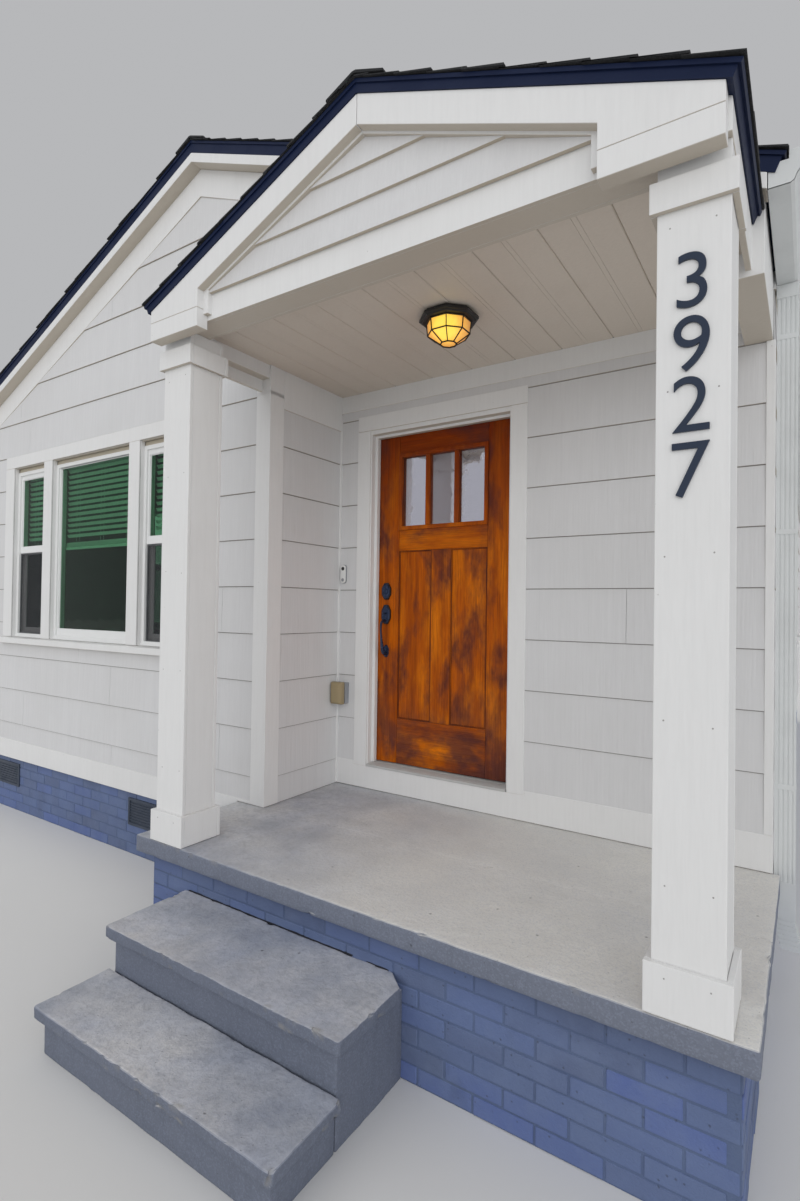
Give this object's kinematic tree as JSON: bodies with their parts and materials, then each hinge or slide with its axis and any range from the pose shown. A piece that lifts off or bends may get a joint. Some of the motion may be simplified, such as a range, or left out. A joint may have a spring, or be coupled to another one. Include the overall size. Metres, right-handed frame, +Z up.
{
  "type": "front-gabled bungalow with a recessed entry and gabled porch",
  "caption": "Small front-gabled bungalow with lap siding, a recessed entry with a swinging panelled door, and a gabled porch on square posts over a raised slab with steps.",
  "frame": {"origin": "centre of the outer box, on the ground under the house", "axes": "-Y is the front with the door and porch, +X is to the right seen from the street, +Z is up"},
  "size_m": [6.296, 10.411, 4.5053],
  "materials": {
    "brick": "painted brick, matt",
    "vent": "painted, matt",
    "floor": "oiled boards",
    "siding": "painted lap boards, satin",
    "trim": "painted, satin",
    "shingles": "granule shingles, rough",
    "gutter": "baked enamel, satin",
    "concrete": "painted concrete, worn",
    "ceiling": "painted planks, satin",
    "sill": "satin",
    "hinge": "oil-rubbed bronze, satin",
    "door": "stained and varnished",
    "door_glass": "textured",
    "lock": "black, satin",
    "sash": "white vinyl",
    "glass": "clear",
    "blind": "slatted, matt",
    "lamp_metal": "black, satin",
    "globe": "amber, lit",
    "bell": "white",
    "cover": "tan, weatherproof"
  },
  "bodies": {
    "house": {"foundation_walls": "brick", "foundation_vents": "vent", "floor_deck": "floor", "wing_wall": "siding", "return_wall": "siding", "entry_wall_left": "siding", "entry_wall_right": "siding", "entry_wall_head": "siding", "left_wall": "siding", "right_wall": "siding", "back_wall": "siding", "gable_walls": "siding", "roof_left": "shingles", "roof_right": "shingles", "rake_boards": "trim", "gutters": "gutter", "corner_boards": "trim", "base_trim": "trim", "frieze_boards": "trim", "porch_base": "brick", "porch_slab": "concrete", "upper_step": "concrete", "lower_step": "concrete", "porch_posts": "trim", "front_beam": "trim", "side_beams": "trim", "pediment_panel": "siding", "porch_rake_boards": "trim", "porch_roof": "shingles", "porch_ceiling": "ceiling", "door_frame": "trim", "casings": "trim", "door_sill": "sill", "door_hinges": "hinge", "window_frames": "sash", "window_glass": "glass", "window_blinds": "blind", "ceiling_light": "lamp_metal", "light_globe": "globe", "doorbell": "bell", "outlet_cover": "cover"},
    "door": {"door_leaf": "door", "door_glass": "door_glass", "door_handle": "lock", "deadbolt": "lock"}
  },
  "joints": [
    {"name": "front_door_hinge", "type": "hinge", "parent": "house", "child": "door", "pos_m": [1.79, -3.1325, 1.718], "axis": [0, 0, -1], "range_deg": [0, 95]}
  ]
}
